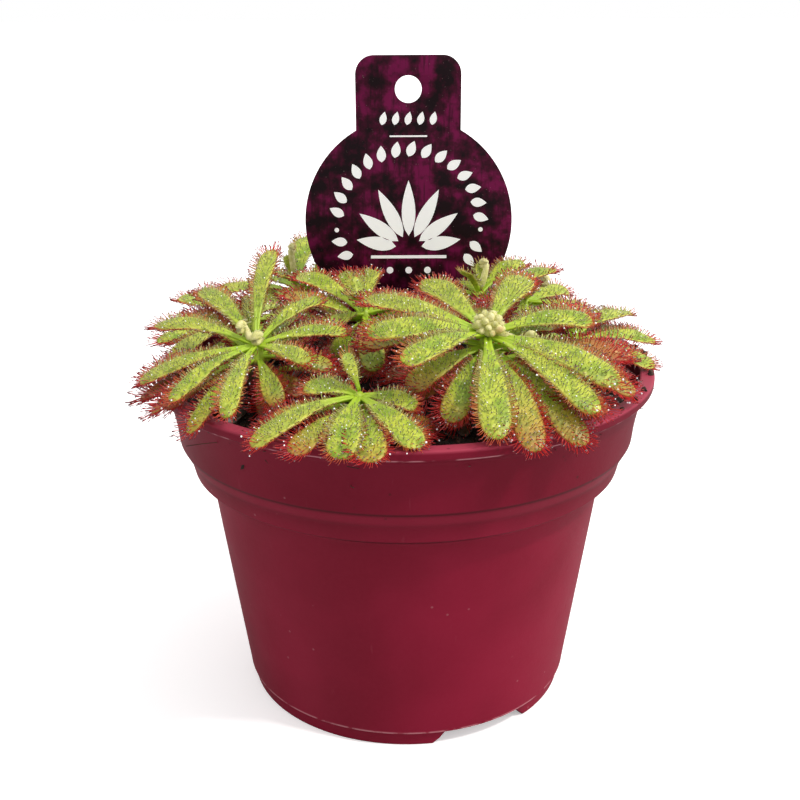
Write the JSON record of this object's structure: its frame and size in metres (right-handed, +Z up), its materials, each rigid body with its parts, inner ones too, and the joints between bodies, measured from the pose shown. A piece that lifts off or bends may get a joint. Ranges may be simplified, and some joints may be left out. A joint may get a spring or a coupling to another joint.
{
  "type": "potted sundew",
  "caption": "Clump of sundew rosettes with tentacled leaves in a round nursery pot of peat, with an upright plastic plant label; a house plant that stands on its foot ring.",
  "frame": {"origin": "centre of the pot's foot, on the surface that the pot stands on", "axes": "+Z up along the pot's axis; -Y to the front, the way the label's printed face looks"},
  "size_m": [0.1289, 0.1293, 0.1552],
  "materials": {
    "pot_plastic": "satin moulded plastic, burgundy",
    "peat": "moist fibrous peat, very rough",
    "label_plastic": "satin printed sheet, dark plum",
    "sundew_leaf": "fleshy leaf, lime green with red tentacles and sticky drops"
  },
  "bodies": {
    "root": {"pot": "pot_plastic", "peat": "peat", "label": "label_plastic", "rosette_front_right": "sundew_leaf", "rosette_front_left": "sundew_leaf", "rosette_front_middle": "sundew_leaf", "rosette_middle": "sundew_leaf", "rosette_middle_right": "sundew_leaf", "rosette_right": "sundew_leaf", "rosette_left": "sundew_leaf", "rosette_back_left": "sundew_leaf", "rosette_back_right": "sundew_leaf", "rosette_back_middle": "sundew_leaf"}
  },
  "joints": []
}
